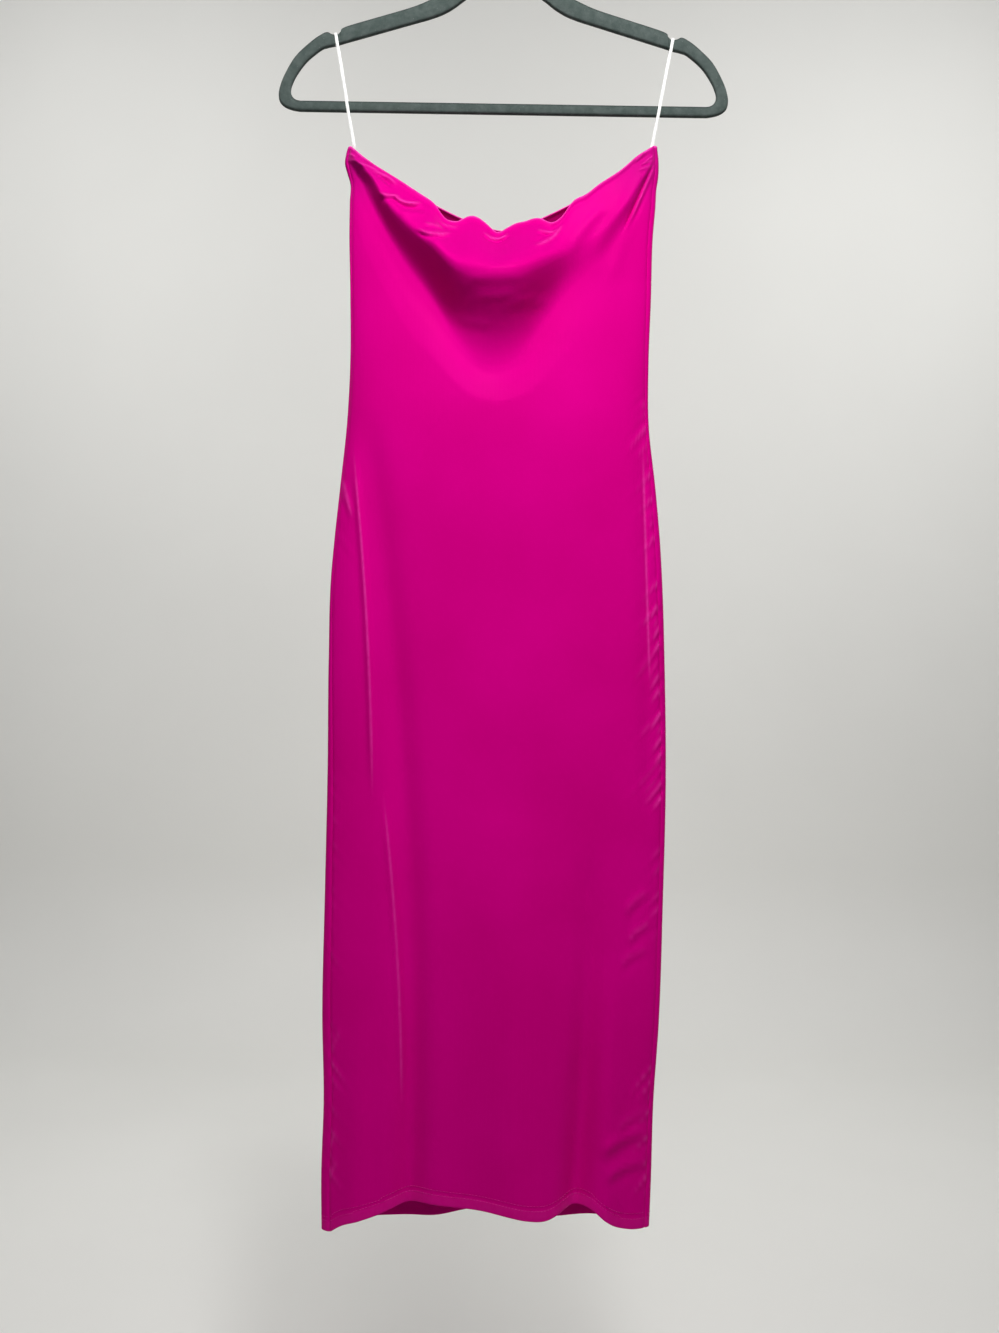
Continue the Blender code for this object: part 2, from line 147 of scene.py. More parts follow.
def bumpNode(tree, height, strength, distance, under=None):
    node = tree.nodes.new("ShaderNodeBump")
    node.inputs["Strength"].default_value = strength
    node.inputs["Distance"].default_value = distance
    tree.links.new(height, node.inputs["Height"])
    if under is not None:
        tree.links.new(under, node.inputs["Normal"])
    return node.outputs["Normal"]


def mixNode(tree, share, first, second):
    # second is a socket or a plain colour
    node = tree.nodes.new("ShaderNodeMix")
    node.data_type = "RGBA"
    tree.links.new(share, node.inputs[0])
    tree.links.new(first, node.inputs[6])
    if isinstance(second, tuple):
        node.inputs[7].default_value = (*second, 1)
    else:
        tree.links.new(second, node.inputs[7])
    return node.outputs[2]


def attributeNode(tree, name):
    # a value that a panel carries at its points
    node = tree.nodes.new("ShaderNodeAttribute")
    node.attribute_name = name
    return node.outputs["Fac"]


def facingUp(tree, start, end):
    # 0 to 1 as the surface turns to face the ceiling, where shade is painted into the colour
    coords = tree.nodes.new("ShaderNodeTexCoord")
    parts = tree.nodes.new("ShaderNodeSeparateXYZ")
    tree.links.new(coords.outputs["Normal"], parts.inputs[0])
    spread = tree.nodes.new("ShaderNodeMapRange")
    spread.interpolation_type = "SMOOTHSTEP"
    spread.inputs["From Min"].default_value = start
    spread.inputs["From Max"].default_value = end
    tree.links.new(parts.outputs["Z"], spread.inputs["Value"])
    return spread.outputs["Result"]


jerseyLook = {
    "deep": (0.66, 0.0, 0.225),
    "bright": (0.72, 0.0, 0.258),
    "paintedShade": (0.53, 0.0, 0.195),        # painted shade where the cloth faces up
    "cornerShade": (0.46, 0.003, 0.185),     # painted shade towards the corners
    "paintedHighlight": (0.90, 0.065, 0.46),     # painted highlight along the ridges and the rim
    "roughness": 0.40,
    "specular": 0.03,
    "paintedShadeFrom": 0.2,       # how far up the cloth faces where the painted shade starts and is full
    "paintedShadeTo": 0.75,
    "cloudScale": 9.0,
    "patchScale": 160.0,
    "rippleScale": 60.0,
    "rippleBump": (0.06, 0.002),
    "walesBump": (0.10, 0.0002),
    "sheen": 0.26,
    "sheenRoughness": 0.22,
    "sheenTint": (1.0, 0.42, 0.70, 1.0),
    "specularTint": (1.0, 0.0, 0.40, 1.0),
    "courses": 1500.0,   # knitted loops a metre
}


def jerseyMaterial():
    material, tree, shader = newMaterial("pinkJersey")
    plain = objectCoords(tree, (1, 1, 1))
    cloud = noiseNode(tree, plain, jerseyLook["cloudScale"], 2.0)
    colour = rampNode(tree, cloud, [(0.3, jerseyLook["deep"]), (0.7, jerseyLook["bright"])])
    # share of painted highlight that the panels carry at their points, made patchy below
    wearAndHighlight = attributeNode(tree, "wearAndHighlight")
    patchy = tree.nodes.new("ShaderNodeMath")
    patchy.operation = "MULTIPLY"
    tree.links.new(wearAndHighlight, patchy.inputs[0])
    patches = noiseNode(tree, plain, jerseyLook["patchScale"])
    tree.links.new(rampNode(tree, patches, [(0.25, (0.45,) * 3), (0.6, (1.0,) * 3)]), patchy.inputs[1])
    # painted shade where the cloth faces up
    upward = facingUp(tree, jerseyLook["paintedShadeFrom"], jerseyLook["paintedShadeTo"])
    paintedShade = mixNode(tree, upward, colour, jerseyLook["paintedShade"])
    # painted shade towards the two top corners
    paintedShade = mixNode(tree, attributeNode(tree, "cornerShade"), paintedShade, jerseyLook["cornerShade"])
    # mix in the painted highlight
    tree.links.new(mixNode(tree, patchy.outputs[0], paintedShade, jerseyLook["paintedHighlight"]), shader.inputs["Base Color"])
    shader.inputs["Roughness"].default_value = jerseyLook["roughness"]
    shader.inputs["Specular IOR Level"].default_value = jerseyLook["specular"]
    shader.inputs["Specular Tint"].default_value = jerseyLook["specularTint"]
    shader.inputs["Sheen Weight"].default_value = jerseyLook["sheen"]
    shader.inputs["Sheen Roughness"].default_value = jerseyLook["sheenRoughness"]
    shader.inputs["Sheen Tint"].default_value = jerseyLook["sheenTint"]
    wales = tree.nodes.new("ShaderNodeTexWave")
    wales.wave_type = "BANDS"
    wales.bands_direction = "X"
    wales.inputs["Scale"].default_value = jerseyLook["courses"] / 20
    wales.inputs["Distortion"].default_value = 0.4
    wales.inputs["Detail"].default_value = 1.0
    tree.links.new(plain, wales.inputs["Vector"])
    fine = bumpNode(tree, wales.outputs["Fac"], *jerseyLook["walesBump"])
    ripple = noiseNode(tree, objectCoords(tree, (1.0, 1.0, 0.35)), jerseyLook["rippleScale"], 2.0)
    soft = bumpNode(tree, ripple, *jerseyLook["rippleBump"], fine)
    tree.links.new(soft, shader.inputs["Normal"])
    return material


ribbonLook = {
    "shade": (0.80, 0.80, 0.78),
    "white": (0.90, 0.90, 0.88),
    "cloudScale": 120.0,
    "roughness": 0.38,
    "sheen": 0.3,
    "ribScale": 90.0,
    "ribBump": (0.25, 0.0002),
}


def ribbonMaterial():
    material, tree, shader = newMaterial("whiteRibbon")
    plain = objectCoords(tree, (1, 1, 1))
    cloud = noiseNode(tree, plain, ribbonLook["cloudScale"])
    colour = rampNode(tree, cloud, [(0.3, ribbonLook["shade"]), (0.7, ribbonLook["white"])])
    tree.links.new(colour, shader.inputs["Base Color"])
    shader.inputs["Roughness"].default_value = ribbonLook["roughness"]
    shader.inputs["Sheen Weight"].default_value = ribbonLook["sheen"]
    ribs = tree.nodes.new("ShaderNodeTexWave")
    ribs.bands_direction = "Z"
    ribs.inputs["Scale"].default_value = ribbonLook["ribScale"]
    tree.links.new(plain, ribs.inputs["Vector"])
    tree.links.new(bumpNode(tree, ribs.outputs["Fac"], *ribbonLook["ribBump"]), shader.inputs["Normal"])
    return material


flockLook = {
    "pile": (0.056, 0.076, 0.070),
    "worn": (0.086, 0.108, 0.101),
    "paintedShade": (0.017, 0.024, 0.022),
    "lint": (0.16, 0.18, 0.175),
    "roughness": 0.95,
    "specular": 0.15,
    "sheen": 0.03,
    "sheenRoughness": 0.6,
    "napScale": 140.0,
    "lintScale": 260.0,
    "pileScale": 1600.0,
    "pileBump": (0.5, 0.0006),
    "lumpScale": 220.0,
    "lumpBump": (0.3, 0.001),
}


def flockMaterial():
    material, tree, shader = newMaterial("greyGreenFlock")
    plain = objectCoords(tree, (1, 1, 1))
    wear = noiseNode(tree, plain, flockLook["napScale"], 4.0, 0.6)
    wearAndHighlight = rampNode(tree, wear, [(0.35, flockLook["pile"]), (0.68, flockLook["worn"])])
    specks = tree.nodes.new("ShaderNodeTexVoronoi")
    specks.inputs["Scale"].default_value = flockLook["lintScale"]
    tree.links.new(plain, specks.inputs["Vector"])
    lint = rampNode(tree, specks.outputs["Distance"], [(0.03, (1, 1, 1)), (0.12, (0, 0, 0))])
    # painted shade on the hanger's faces that turn up
    paintedShade = mixNode(tree, facingUp(tree, 0.1, 0.7), wearAndHighlight, flockLook["paintedShade"])
    tree.links.new(mixNode(tree, lint, paintedShade, flockLook["lint"]), shader.inputs["Base Color"])
    shader.inputs["Roughness"].default_value = flockLook["roughness"]
    shader.inputs["Specular IOR Level"].default_value = flockLook["specular"]
    shader.inputs["Sheen Weight"].default_value = flockLook["sheen"]
    shader.inputs["Sheen Roughness"].default_value = flockLook["sheenRoughness"]
    pile = noiseNode(tree, plain, flockLook["pileScale"], 2.0, 0.6)
    lumps = noiseNode(tree, plain, flockLook["lumpScale"], 2.0, 0.5)
    rough = bumpNode(tree, pile, *flockLook["pileBump"])
    tree.links.new(bumpNode(tree, lumps, *flockLook["lumpBump"], rough), shader.inputs["Normal"])
    return material


wireLook = {
    "dull": (0.66, 0.66, 0.65),
    "bright": (0.76, 0.76, 0.75),
    "smooth": (0.16, 0.16, 0.16),    # roughness where polished and where scuffed
    "scuffed": (0.30, 0.30, 0.30),
    "scuffScale": 300.0,
}


def wireMaterial():
    material, tree, shader = newMaterial("hookWire")
    drawn = objectCoords(tree, (1, 1, 0.2))
    scuffs = noiseNode(tree, drawn, wireLook["scuffScale"])
    colour = rampNode(tree, scuffs, [(0.3, wireLook["dull"]), (0.7, wireLook["bright"])])
    tree.links.new(colour, shader.inputs["Base Color"])
    shader.inputs["Metallic"].default_value = 1.0
    grey = rampNode(tree, scuffs, [(0.3, wireLook["smooth"]), (0.75, wireLook["scuffed"])])
    tree.links.new(grey, shader.inputs["Roughness"])
    return material


jersey = jerseyMaterial()
ribbon = ribbonMaterial()
flock = flockMaterial()
wire = wireMaterial()
print("finishes made")


# the dress, sizes in millimetres; u runs from -1 at the left seam to 1 at the right one
dress = {
    "cornerX": 152.0,
    "cornerZ": -266.0,
    "frontSag": 87.0,
    "backSag": 79.0,
    "sagPower": 1.4,
    "backHemDrop": 1059.0,
    "sideMarks": (8, 17, 60),       # drop of the back's rows at the seams
    "backMarks": (112, 158, 190),   # and how much lower they are in the middle
    "edgeFade": 12.0,
    "tipRoundness": 6.0,
    "lensPower": 2.4,
    "drapeSpread": 3.4,
    "cornerTilt": 2.5,     # the right corner hangs this much higher, the left this much lower
    "turnRadius": 0.8,     # of the rolled neckline and hem
    "beadHigh": 0.9,       # soft roll along the neckline
    "beadWide": 2.0,
    "foldHighlight": 0.50,       # how much painted highlight goes on folds, creases and the rim
    "creaseHighlight": 0.25,
    "rimHighlight": 0.9,
    "cornerShadeReach": 95.0,    # of the painted shade round the corners
    "cornerShadeFall": 1.15,
    "cornerShadeMost": 0.9,
    # painted highlight on the seam gathers; the turned hem is drawn a little paler
    "gatherHighlight": 0.55,
    "hemPale": 0.10,
    "hemStitch": 11.0,     # middle of the twin stitching over the hem edge
    "columns": 220,
    "backColumns": 190,
    "wrapColumns": 8,      # of the back panel in front of each side fold
    "bunch": 0.2,          # how much closer the columns lie at the sides
    "seamDip": 1.1,
    "seamWide": 0.9,
}

# height, half width left and right, side seam in from the fold left and right, depth front and back
dressLevels = (
    (-1345, 162.5, 161.5, 9.0, 5.0, 20.0, 17.0),
    (-1290, 163.8, 163.0, 9.0, 5.0, 20.5, 17.5),
    (-1210, 162.6, 164.2, 9.0, 5.0, 22.5, 18.0),
    (-1130, 165.2, 168.4, 9.0, 5.0, 24.0, 18.5),
    (-1010, 164.6, 170.6, 8.0, 5.0, 26.0, 19.0),
    (-890, 163.8, 171.6, 6.5, 5.5, 27.5, 19.0),
    (-775, 164.4, 168.6, 4.0, 6.0, 28.5, 19.0),
    (-695, 163.4, 165.0, 2.8, 6.0, 29.0, 19.0),
    (-655, 160.4, 162.2, 2.4, 6.0, 30.0, 19.0),
    (-600, 155.2, 156.6, 2.2, 5.0, 31.5, 19.0),
    (-540, 149.8, 149.2, 2.2, 4.0, 31.5, 19.0),
    (-480, 147.6, 148.0, 2.2, 4.0, 27.0, 18.5),
    (-415, 148.6, 149.4, 2.2, 5.0, 20.5, 17.5),
    (-350, 150.6, 150.4, 2.2, 5.0, 16.5, 14.5),
    (-322, 150.6, 152.4, 2.3, 4.6, 13.0, 11.5),
    (-304, 150.4, 153.2, 2.6, 4.2, 11.0, 9.5),
    (-294, 153.4, 154.6, 3.2, 4.0, 9.6, 8.4),
    (-284, 156.0, 155.0, 3.6, 3.8, 8.6, 7.6),
    (-275, 155.0, 154.6, 3.4, 3.6, 7.4, 6.6),
    (-266, 152.6, 153.4, 3.0, 3.4, 6.2, 5.8),
)

# across the front: share of the width, drop of the swag's crest, of the foot of its underside,
# of the drape's end, and how fully the swag stands out there
cowlTable = (
    (-1.00, 8, 20, 60, 0.00),
    (-0.95, 16, 34, 84, 0.14),
    (-0.90, 26, 49, 106, 0.22),
    (-0.75, 62, 91, 152, 0.36),
    (-0.60, 87, 126, 190, 0.51),
    (-0.45, 107, 155, 214, 0.72),
    (-0.30, 129, 190, 238, 0.92),
    (-0.15, 137, 213, 254, 1.05),
    (0.00, 139, 218, 258, 1.10),
    (0.15, 135, 206, 252, 0.98),
    (0.30, 123, 178, 236, 0.66),
    (0.45, 110, 150, 210, 0.26),
    (0.60, 96, 128, 184, 0.10),
    (0.75, 76, 104, 148, 0.10),
    (0.90, 40, 62, 104, 0.12),
    (1.00, 8, 20, 60, 0.00),
)

# slack front neckline: where, how much lower, how wide, how far out
neckScallops = (
    (-0.38, 6.5, 0.05, 1.0),
    (-0.31, 9.5, 0.07, 3.5),
    (-0.17, -7.0, 0.085, -2.5),
    (-0.03, 5.0, 0.045, 3.0),
    (0.10, -3.5, 0.06, -2.0),
    (0.20, -1.5, 0.05, -1.0),
    (0.34, 12.0, 0.065, 4.0),
    (0.41, 7.0, 0.05, 1.0),
    (0.56, 2.5, 0.06, 0.0),
    (0.88, -3.0, 0.08, 0.0),
)

# row from the neckline (0) over the crest (1), the underside's foot (2), the drape's end (3) to the hem (4):
# how far the drape stands out in front and behind
drapeTable = (
    (0.00, 0.0, -5.0),
    (0.10, 3.0, -1.5),
    (0.25, 8.0, 2.0),
    (0.50, 19.0, 2.5),
    (0.75, 30.0, 3.0),
    (0.90, 35.0, 3.5),
    (1.00, 36.5, 4.0),
    (1.10, 34.8, 4.0),
    (1.22, 29.0, 4.0),
    (1.36, 20.5, 3.5),
    (1.52, 10.5, 2.5),
    (1.70, 1.5, 1.5),
    (1.90, -4.5, 0.5),
    (2.20, -6.0, 0.0),
    (2.60, -3.0, 0.0),
    (3.00, 0.0, 0.0),
    (4.00, 0.0, 0.0),
)

# share of the width and drop of the front's hem there
frontHem = (
    (-1.00, 1073), (-0.93, 1065), (-0.80, 1057), (-0.70, 1052), (-0.60, 1046),
    (-0.52, 1042), (-0.45, 1040), (-0.20, 1041), (0.00, 1043), (0.14, 1046),
    (0.26, 1049), (0.37, 1050), (0.46, 1046), (0.55, 1041), (0.66, 1043),
    (0.74, 1052), (0.82, 1060), (0.90, 1064), (1.00, 1065),
)

# long folds: upper x and z, lower x and z, bow half way, half width, height above and below
frontFolds = (
    (-134, -520, -77, -1340, 21, 15, -2.5, -11.0),
    (-143, -560, -117, -915, 5, 3.6, 3.4, 2.6),
    (-107, -900, -84, -1220, 5, 4.2, 2.2, 2.0),
    (12, -880, 37, -1340, 0, 38, 0.0, 12.0),
    (94, -930, 83, -1340, 6, 13, -0.5, -13.0),
    (120, -1040, 116, -1340, 0, 14, 0.0, 7.0),
    (141, -480, 156, -950, 0, 9, -2.5, -2.5),
    (142, -560, 153, -800, 0, 2.4, -2.0, -1.6),
    (-124, -1080, -128, -1340, 0, 18, 0.0, 5.0),
)
backFolds = (
    (-66, -420, -50, -1345, -6, 22, -1.5, -8.0),
    (14, -480, 4, -1345, 4, 34, 2.0, 6.0),
    (76, -580, 63, -1345, 5, 20, -1.0, -8.0),
    (112, -780, 110, -1345, 0, 20, 0.0, 5.0),
    (-118, -900, -114, -1345, 0, 20, 0.0, 4.0),
)

# short creases: from x, z to x, z, half width, height, bow; a height below zero is a trough
frontCreases = (
    # wrung folds of the band at the left
    (-146, -272, -128, -286, 2.4, 1.5, 1),
    (-142, -290, -122, -296, 2.2, 1.8, 1),
    (-126, -297, -104, -309, 2.2, 1.9, 2),
    (-118, -303, -110, -311, 1.8, -1.2, 0),
    (-118, -323, -100, -324, 1.9, 2.3, -1),
    (-104, -325, -80, -329, 2.2, 2.8, -4),
    (-98, -338, -76, -337, 3.0, -1.9, 1),
    (-73, -355, -58, -356, 1.6, 1.7, 0),
    (-79, -362, -50, -362, 1.8, 2.3, -5),
    (-60, -349, -42, -353, 1.6, 1.4, -2),
    # smile fold below the notch and the fold beside the right-hand opening
    (-16, -361, 6, -360, 1.9, 2.9, -6),
    (58, -350, 34, -375, 2.2, 1.8, 3),
    (36, -356, 54, -356, 2.0, 1.7, -2),
    # long soft folds from the right corner
    (122, -345, 149, -282, 1.3, -1.9, 0),
    (128, -338, 150, -286, 1.6, 1.2, 0),
    (69, -372, 98, -331, 5.0, 1.3, 2),
    (92, -374, 128, -318, 6.0, 1.0, 3),
    (108, -400, 134, -330, 7.0, 0.9, 2),
    # gathers under the right corner
    (141, -281, 149, -274, 1.1, 1.3, 0),
    (137, -284, 149, -279, 1.1, 1.4, 0),
    (135, -290, 150, -284, 1.2, 1.3, 0),
    (131, -281, 140, -272, 1.3, 1.2, 0),
    (-152, -276, -144, -282, 1.2, 1.2, 0),
    (-153, -283, -142, -287, 1.3, 1.2, 0),
    # streaks under the crest
    (-34, -416, 18, -411, 5.0, 0.45, 2),
    (-22, -428, 14, -425, 4.0, 0.35, -2),
    (6, -436, 44, -425, 5.0, 0.5, 2),
    (-42, -442, -8, -450, 4.0, 0.4, -2),
    # hip and thigh
    (-154, -598, -143, -634, 3.0, 2.2, 0),
    (132, -1018, 154, -1000, 4, 1.6, 2),
    (136, -1046, 156, -1030, 3.5, 1.6, 2),
    (128, -1070, 154, -1056, 4, 1.2, 3),
    # near the hem
    (112, -1252, 156, -1236, 6, 2.6, 4),
    (118, -1276, 158, -1266, 5, 2.2, 3),
    (128, -1230, 156, -1216, 4, 1.4, 2),
    (-150, -1240, -158, -1262, 3, 1.3, 0),
    (-148, -1268, -158, -1290, 3, 1.3, 0),
    (-146, -1140, -156, -1160, 3, 1.0, 0),
)
backCreases = (
    (110, -640, 150, -620, 5, 2.0, 3),
    (104, -760, 152, -748, 5, 1.8, 3),
    (-150, -700, -112, -722, 5, 1.8, -3),
    (-152, -980, -118, -1000, 5, 1.6, -3),
    (118, -1240, 154, -1226, 5, 2.2, 3),
    (-60, -352, -34, -360, 5, 1.6, -4),
    (20, -366, 50, -352, 5, 1.6, -4),
)

# gathered side seams: side, upper z, lower z, how deep the gathers are
seamGathers = (
    (1, -268, -290, 0.9),
    (1, -500, -680, 1.2),
    (1, -680, -930, 2.0),
    (1, -940, -1070, 1.0),
    (1, -1160, -1310, 1.4),
    (-1, -268, -290, 0.9),
    (-1, -560, -700, 0.5),
    (-1, -860, -1100, 0.6),
    (-1, -1120, -1310, 1.0),
)


def level(z, index):
    return smoothAt(z, column(dressLevels, 0), column(dressLevels, index))


def halfWidth(z, side):
    return np.where(side < 0, level(z, 1), level(z, 2))


def seamWrap(z, side):
    return np.where(side < 0, level(z, 3), level(z, 4))


def sagAt(u, depth):
    return depth * (1 - np.clip(np.abs(u), 0, 1) ** dress["sagPower"])


def frontNeck(u):
    drop = sagAt(u, dress["frontSag"])
    for where, lower, wide, _ in neckScallops:
        drop = drop + lower * bell((u - where) / wide)
    return drop


def neckRoll(u, row):
    # the slack edge leans out and in along the neckline
    out = np.zeros_like(u)
    for where, _, wide, lean in neckScallops:
        out = out + lean * bell((u - where) / wide)
    return out * softStep(1 - row / 0.8)


def byRows(u, row, marks):
    # drop below the corners, straight between the five marked rows
    marks = [mark - dress["cornerTilt"] * u * (k < 3) for k, mark in enumerate(marks)]
    drop = marks[0]
    for first in range(4):
        drop = drop + (marks[first + 1] - marks[first]) * np.clip(row - first, 0, 1)
    return drop


def frontDrop(u, row):
    u = np.clip(u, -1, 1)
    across = column(cowlTable, 0)
    marks = [frontNeck(u)]
    marks += [smoothAt(u, across, column(cowlTable, index)) for index in (1, 2, 3)]
    marks.append(smoothAt(u, column(frontHem, 0), column(frontHem, 1)))
    return byRows(u, row, marks)


def backDrop(u, row):
    u = np.clip(u, -1, 1)
    dip = sagAt(u, 1.0)
    seamHem = np.where(u < 0, frontHem[0][1], frontHem[-1][1])
    hem = seamHem + (dress["backHemDrop"] - seamHem) * dip
    between = [side + lower * dip for side, lower in zip(dress["sideMarks"], dress["backMarks"])]
    return byRows(u, row, [dress["backSag"] * dip, *between, hem])


foldEnd = 70.0      # a long fold dies out over this length
openFoot = -1300.0  # folds that reach lower than this run on into the hem


def foldsAt(x, z, folds):
    out = np.zeros_like(x)
    for x0, z0, x1, z1, bow, wide, out0, out1 in folds:
        along = (z - z0) / (z1 - z0)
        line = x0 + (x1 - x0) * along + bow * 4 * along * (1 - along)
        fade = softStep(along * abs(z1 - z0) / foldEnd)
        if z1 > openFoot:
            fade = fade * softStep((1 - along) * abs(z1 - z0) / foldEnd)
        out = out + (out0 + (out1 - out0) * np.clip(along, 0, 1)) * fade * bell((x - line) / wide)
    return out


def creaseLine(x, z, crease, past):
    # how far a point is off a crease's bowed line, and 1 to 0 where the crease dies out past its ends
    x0, z0, x1, z1, _, _, bow = crease
    length = math.hypot(x1 - x0, z1 - z0)
    alongX, alongZ = (x1 - x0) / length, (z1 - z0) / length
    along = ((x - x0) * alongX + (z - z0) * alongZ) / length
    bent = bow * 4 * np.clip(along, 0, 1) * (1 - np.clip(along, 0, 1))
    off = (x - x0) * -alongZ + (z - z0) * alongX - bent
    return off, softStep((along + past) / 0.35) * softStep((1 + past - along) / 0.35)


def creasesAt(x, z, creases):
    # a low ridge with a shallow trough below it
    out = np.zeros_like(x)
    for crease in creases:
        wide, height = crease[4:6]
        off, ends = creaseLine(x, z, crease, 0.15)
        out = out + height * ends * (bell(off / wide) - 0.55 * bell((off + 1.7 * wide) / (1.3 * wide)))
    return out


def highlightAt(x, z, folds, creases):
    # painted highlight on the tops of the thin folds and of the creases
    out = np.zeros_like(x)
    for x0, z0, x1, z1, bow, wide, _, _ in folds:
        along = np.clip((z - z0) / (z1 - z0), 0, 1)
        line = x0 + (x1 - x0) * along + bow * 4 * along * (1 - along)
        thin = bell(max(wide - 3.0, 0) / 2.5)
        ends = softStep(5 * along) * softStep(5 - 5 * along)
        out = out + dress["foldHighlight"] * thin * ends * bell(x - line)
    for crease in creases:
        wide, height = crease[4:6]
        off, ends = creaseLine(x, z, crease, 0.1)
        sharp = bell(max(wide - 2.2, 0) / 1.6)
        pale = dress["creaseHighlight"] * max(height, 0) * sharp
        out = out + pale * ends * bell((off - 0.3 * wide) / (0.5 * wide))
    return out


gather = {
    "slant": 1.1,
    "waves": ((0.47, 1.0, 0.0), (0.29, 0.6, 2.0), (0.83, 0.4, 0.7)),   # turns a mm, size, start
    "wander": (1.3, 0.061),    # the first wave drifts by this much, at this rate
    "ends": 25.0,
    "reach": 9.0,
    "unevenReach": (4.0, 0.11),
}


def gathersAt(z, inFromSeam, side):
    # puckers that run slantwise out from a seam, uneven along it
    slant = z + gather["slant"] * inFromSeam
    drift, driftRate = gather["wander"]
    wave = np.zeros_like(z)
    for index, (rate, size, start) in enumerate(gather["waves"]):
        wander = drift * np.sin(z * driftRate) if index == 0 else 0.0
        wave = wave + size * np.sin(slant * rate + start + wander)
    out = np.zeros_like(z)
    for which, top, foot, deep in seamGathers:
        near = softStep((top - z) / gather["ends"]) * softStep((z - foot) / gather["ends"])
        out = out + np.where(side == which, deep, 0.0) * near
    uneven, unevenRate = gather["unevenReach"]
    reach = gather["reach"] + uneven * np.sin(z * unevenRate)
    return out * 0.5 * wave * np.exp(-np.abs(inFromSeam) / reach)


def lens(share, depth, half):
    power = np.maximum(dress["lensPower"], dress["tipRoundness"] * half / depth ** 2)
    return depth * np.sqrt(np.clip(1 - np.abs(share) ** power, 0, 1))


def seamDip(inFromSeam):
    # the sewn seam pulls the cloth in
    return dress["seamDip"] * np.exp(-np.abs(inFromSeam) / dress["seamWide"])


def neckBead(u, row, isFront):
    # a soft roll right at the neckline with a faint hollow below it
    if isFront:
        reach = smoothAt(u, column(cowlTable, 0), column(cowlTable, 1)) - frontNeck(u)
    else:
        reach = dress["sideMarks"][0] + (dress["backMarks"][0] - dress["backSag"]) * sagAt(u, 1.0)
    below = np.clip(row, 0, 1) * np.maximum(reach, 6.0)
    wide = dress["beadWide"]
    roll = bell((below - 0.6 * wide) / wide)
    hollow = bell((below - 3.4 * wide) / (1.4 * wide))
    return dress["beadHigh"] * (roll - 0.5 * hollow)


def hemHeight(u, z, isFront):
    # how far above the hem edge a point is
    drop = frontDrop(u, 4.0) if isFront else backDrop(u, 4.0)
    return z - dress["cornerZ"] + drop


def hemBand(above):
    # the turned hem is a little thicker, and its stitching pulls in a line
    turned = softStep((dress["hemStitch"] + 3 - above) / 2)
    return 0.35 * turned - 0.5 * bell((above - dress["hemStitch"]) / 2.4)


def clothDepth(x, z, u, row, isFront):
    side = np.where(u < 0, -1.0, 1.0)
    half = halfWidth(z, side)
    share = np.clip(x / half, -1, 1)
    swag = smoothAt(row, column(drapeTable, 0), column(drapeTable, 1 if isFront else 2))
    if isFront:
        spread = smoothAt(u, column(cowlTable, 0), column(cowlTable, 4))
        swag = swag + neckRoll(u, row)
    else:
        spread = 1 - np.clip(np.abs(u), 0, 1) ** dress["drapeSpread"]
    edge = 1 - np.abs(share) ** dress["edgeFade"]
    folds = foldsAt(x, z, frontFolds if isFront else backFolds) * edge
    folds = folds + creasesAt(x, z, frontCreases if isFront else backCreases) * edge
    depth = lens(share, level(z, 5 if isFront else 6), half) + swag * spread + folds
    depth = depth + neckBead(u, row, isFront) * edge
    depth = depth + hemBand(hemHeight(u, z, isFront)) * edge
    if isFront:
        inFrom = half - seamWrap(z, side) - np.abs(x)
        depth = depth + gathersAt(z, inFrom, side) * softStep((half - np.abs(x)) / 3) - seamDip(inFrom)
    return depth


def frontPoint(u, row):
    z = dress["cornerZ"] - frontDrop(u, row)
    x = u * (halfWidth(z, u) - seamWrap(z, u))
    return np.stack([x, -clothDepth(x, z, u, row, True), z], axis=-1)


def backPoint(turn, row):
    # -1 right seam, 0 right fold, 1 left fold, 2 left seam
    side = np.where(turn < 0.5, 1.0, -1.0)
    past = np.where(turn < 0.5, -turn, turn - 1)
    around = np.where(past > 0, 0.0, np.pi * np.clip(turn, 0, 1))
    u = np.where(past > 0, side, np.cos(around))
    z = dress["cornerZ"] - backDrop(u, row)
    half = halfWidth(z, side)
    seamAngle = np.arccos(1 - seamWrap(z, side) / half)
    angle = np.where(past > 0, past * seamAngle, 0.0)
    x = np.where(past > 0, side * half * np.cos(angle), half * u)
    y = np.where(past > 0, -clothDepth(x, z, side, row, True), clothDepth(x, z, u, row, False))
    return np.stack([x, y, z], axis=-1)


rowMarks = np.concatenate([
    np.linspace(0, 1, 29)[:-1],
    np.linspace(1, 1.4, 29)[:-1],
    np.linspace(1.4, 2, 17)[:-1],
    np.linspace(2, 3, 21)[:-1],
    np.linspace(3, 3.975, 200)[:-1],
    np.linspace(3.975, 4, 14),
])


edgeTurn = (45, 90, 135, 180)     # degrees round the rolled edge
topTuck = (7, 5, 3, 1)            # rows of the inner face that the neckline's turning runs down to
footTuck = (2, 5, 9, 13)          # and the same up from the hem
tucked = len(edgeTurn) + len(topTuck)


